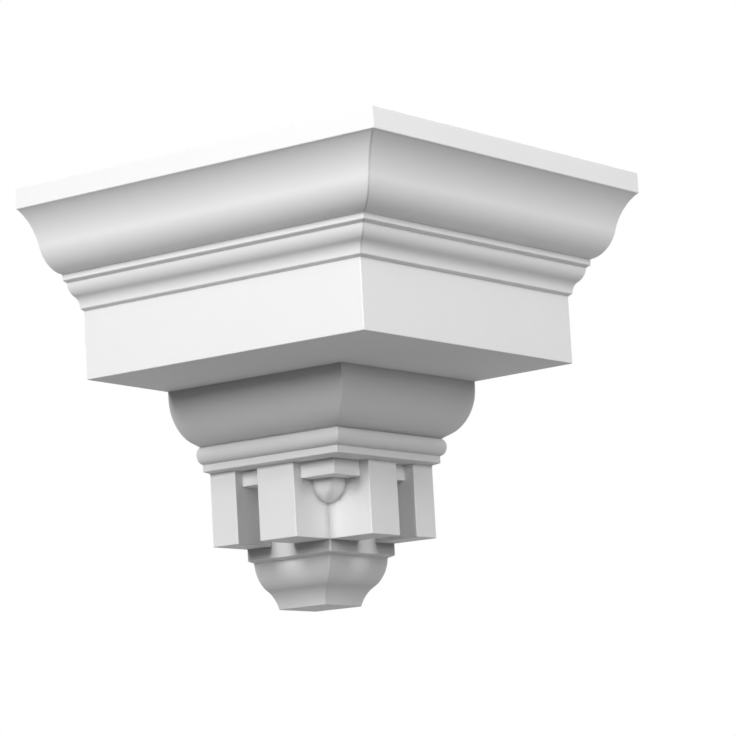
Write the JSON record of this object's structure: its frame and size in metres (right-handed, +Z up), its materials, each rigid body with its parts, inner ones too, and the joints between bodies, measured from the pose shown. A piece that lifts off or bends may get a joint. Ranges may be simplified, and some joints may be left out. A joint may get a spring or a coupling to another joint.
{
  "type": "cornice corner block",
  "caption": "Outer corner block of an exterior dentil cornice: mitred mouldings, notched corner with a small pendant, flat wall back and a square-cut joint end.",
  "frame": {"origin": "on the flat wall face, at mid height, 100 mm in from the joint face", "axes": "+Y into the wall, out of the flat back; +X out of the square-cut joint face, along the run; +Z up, out of the flat top"},
  "size_m": [0.3825, 0.3825, 0.35],
  "materials": {
    "white_coating": "smooth matt white coating over a rigid foam casting"
  },
  "bodies": {
    "root": {"cornice_corner": "white_coating"}
  },
  "joints": []
}
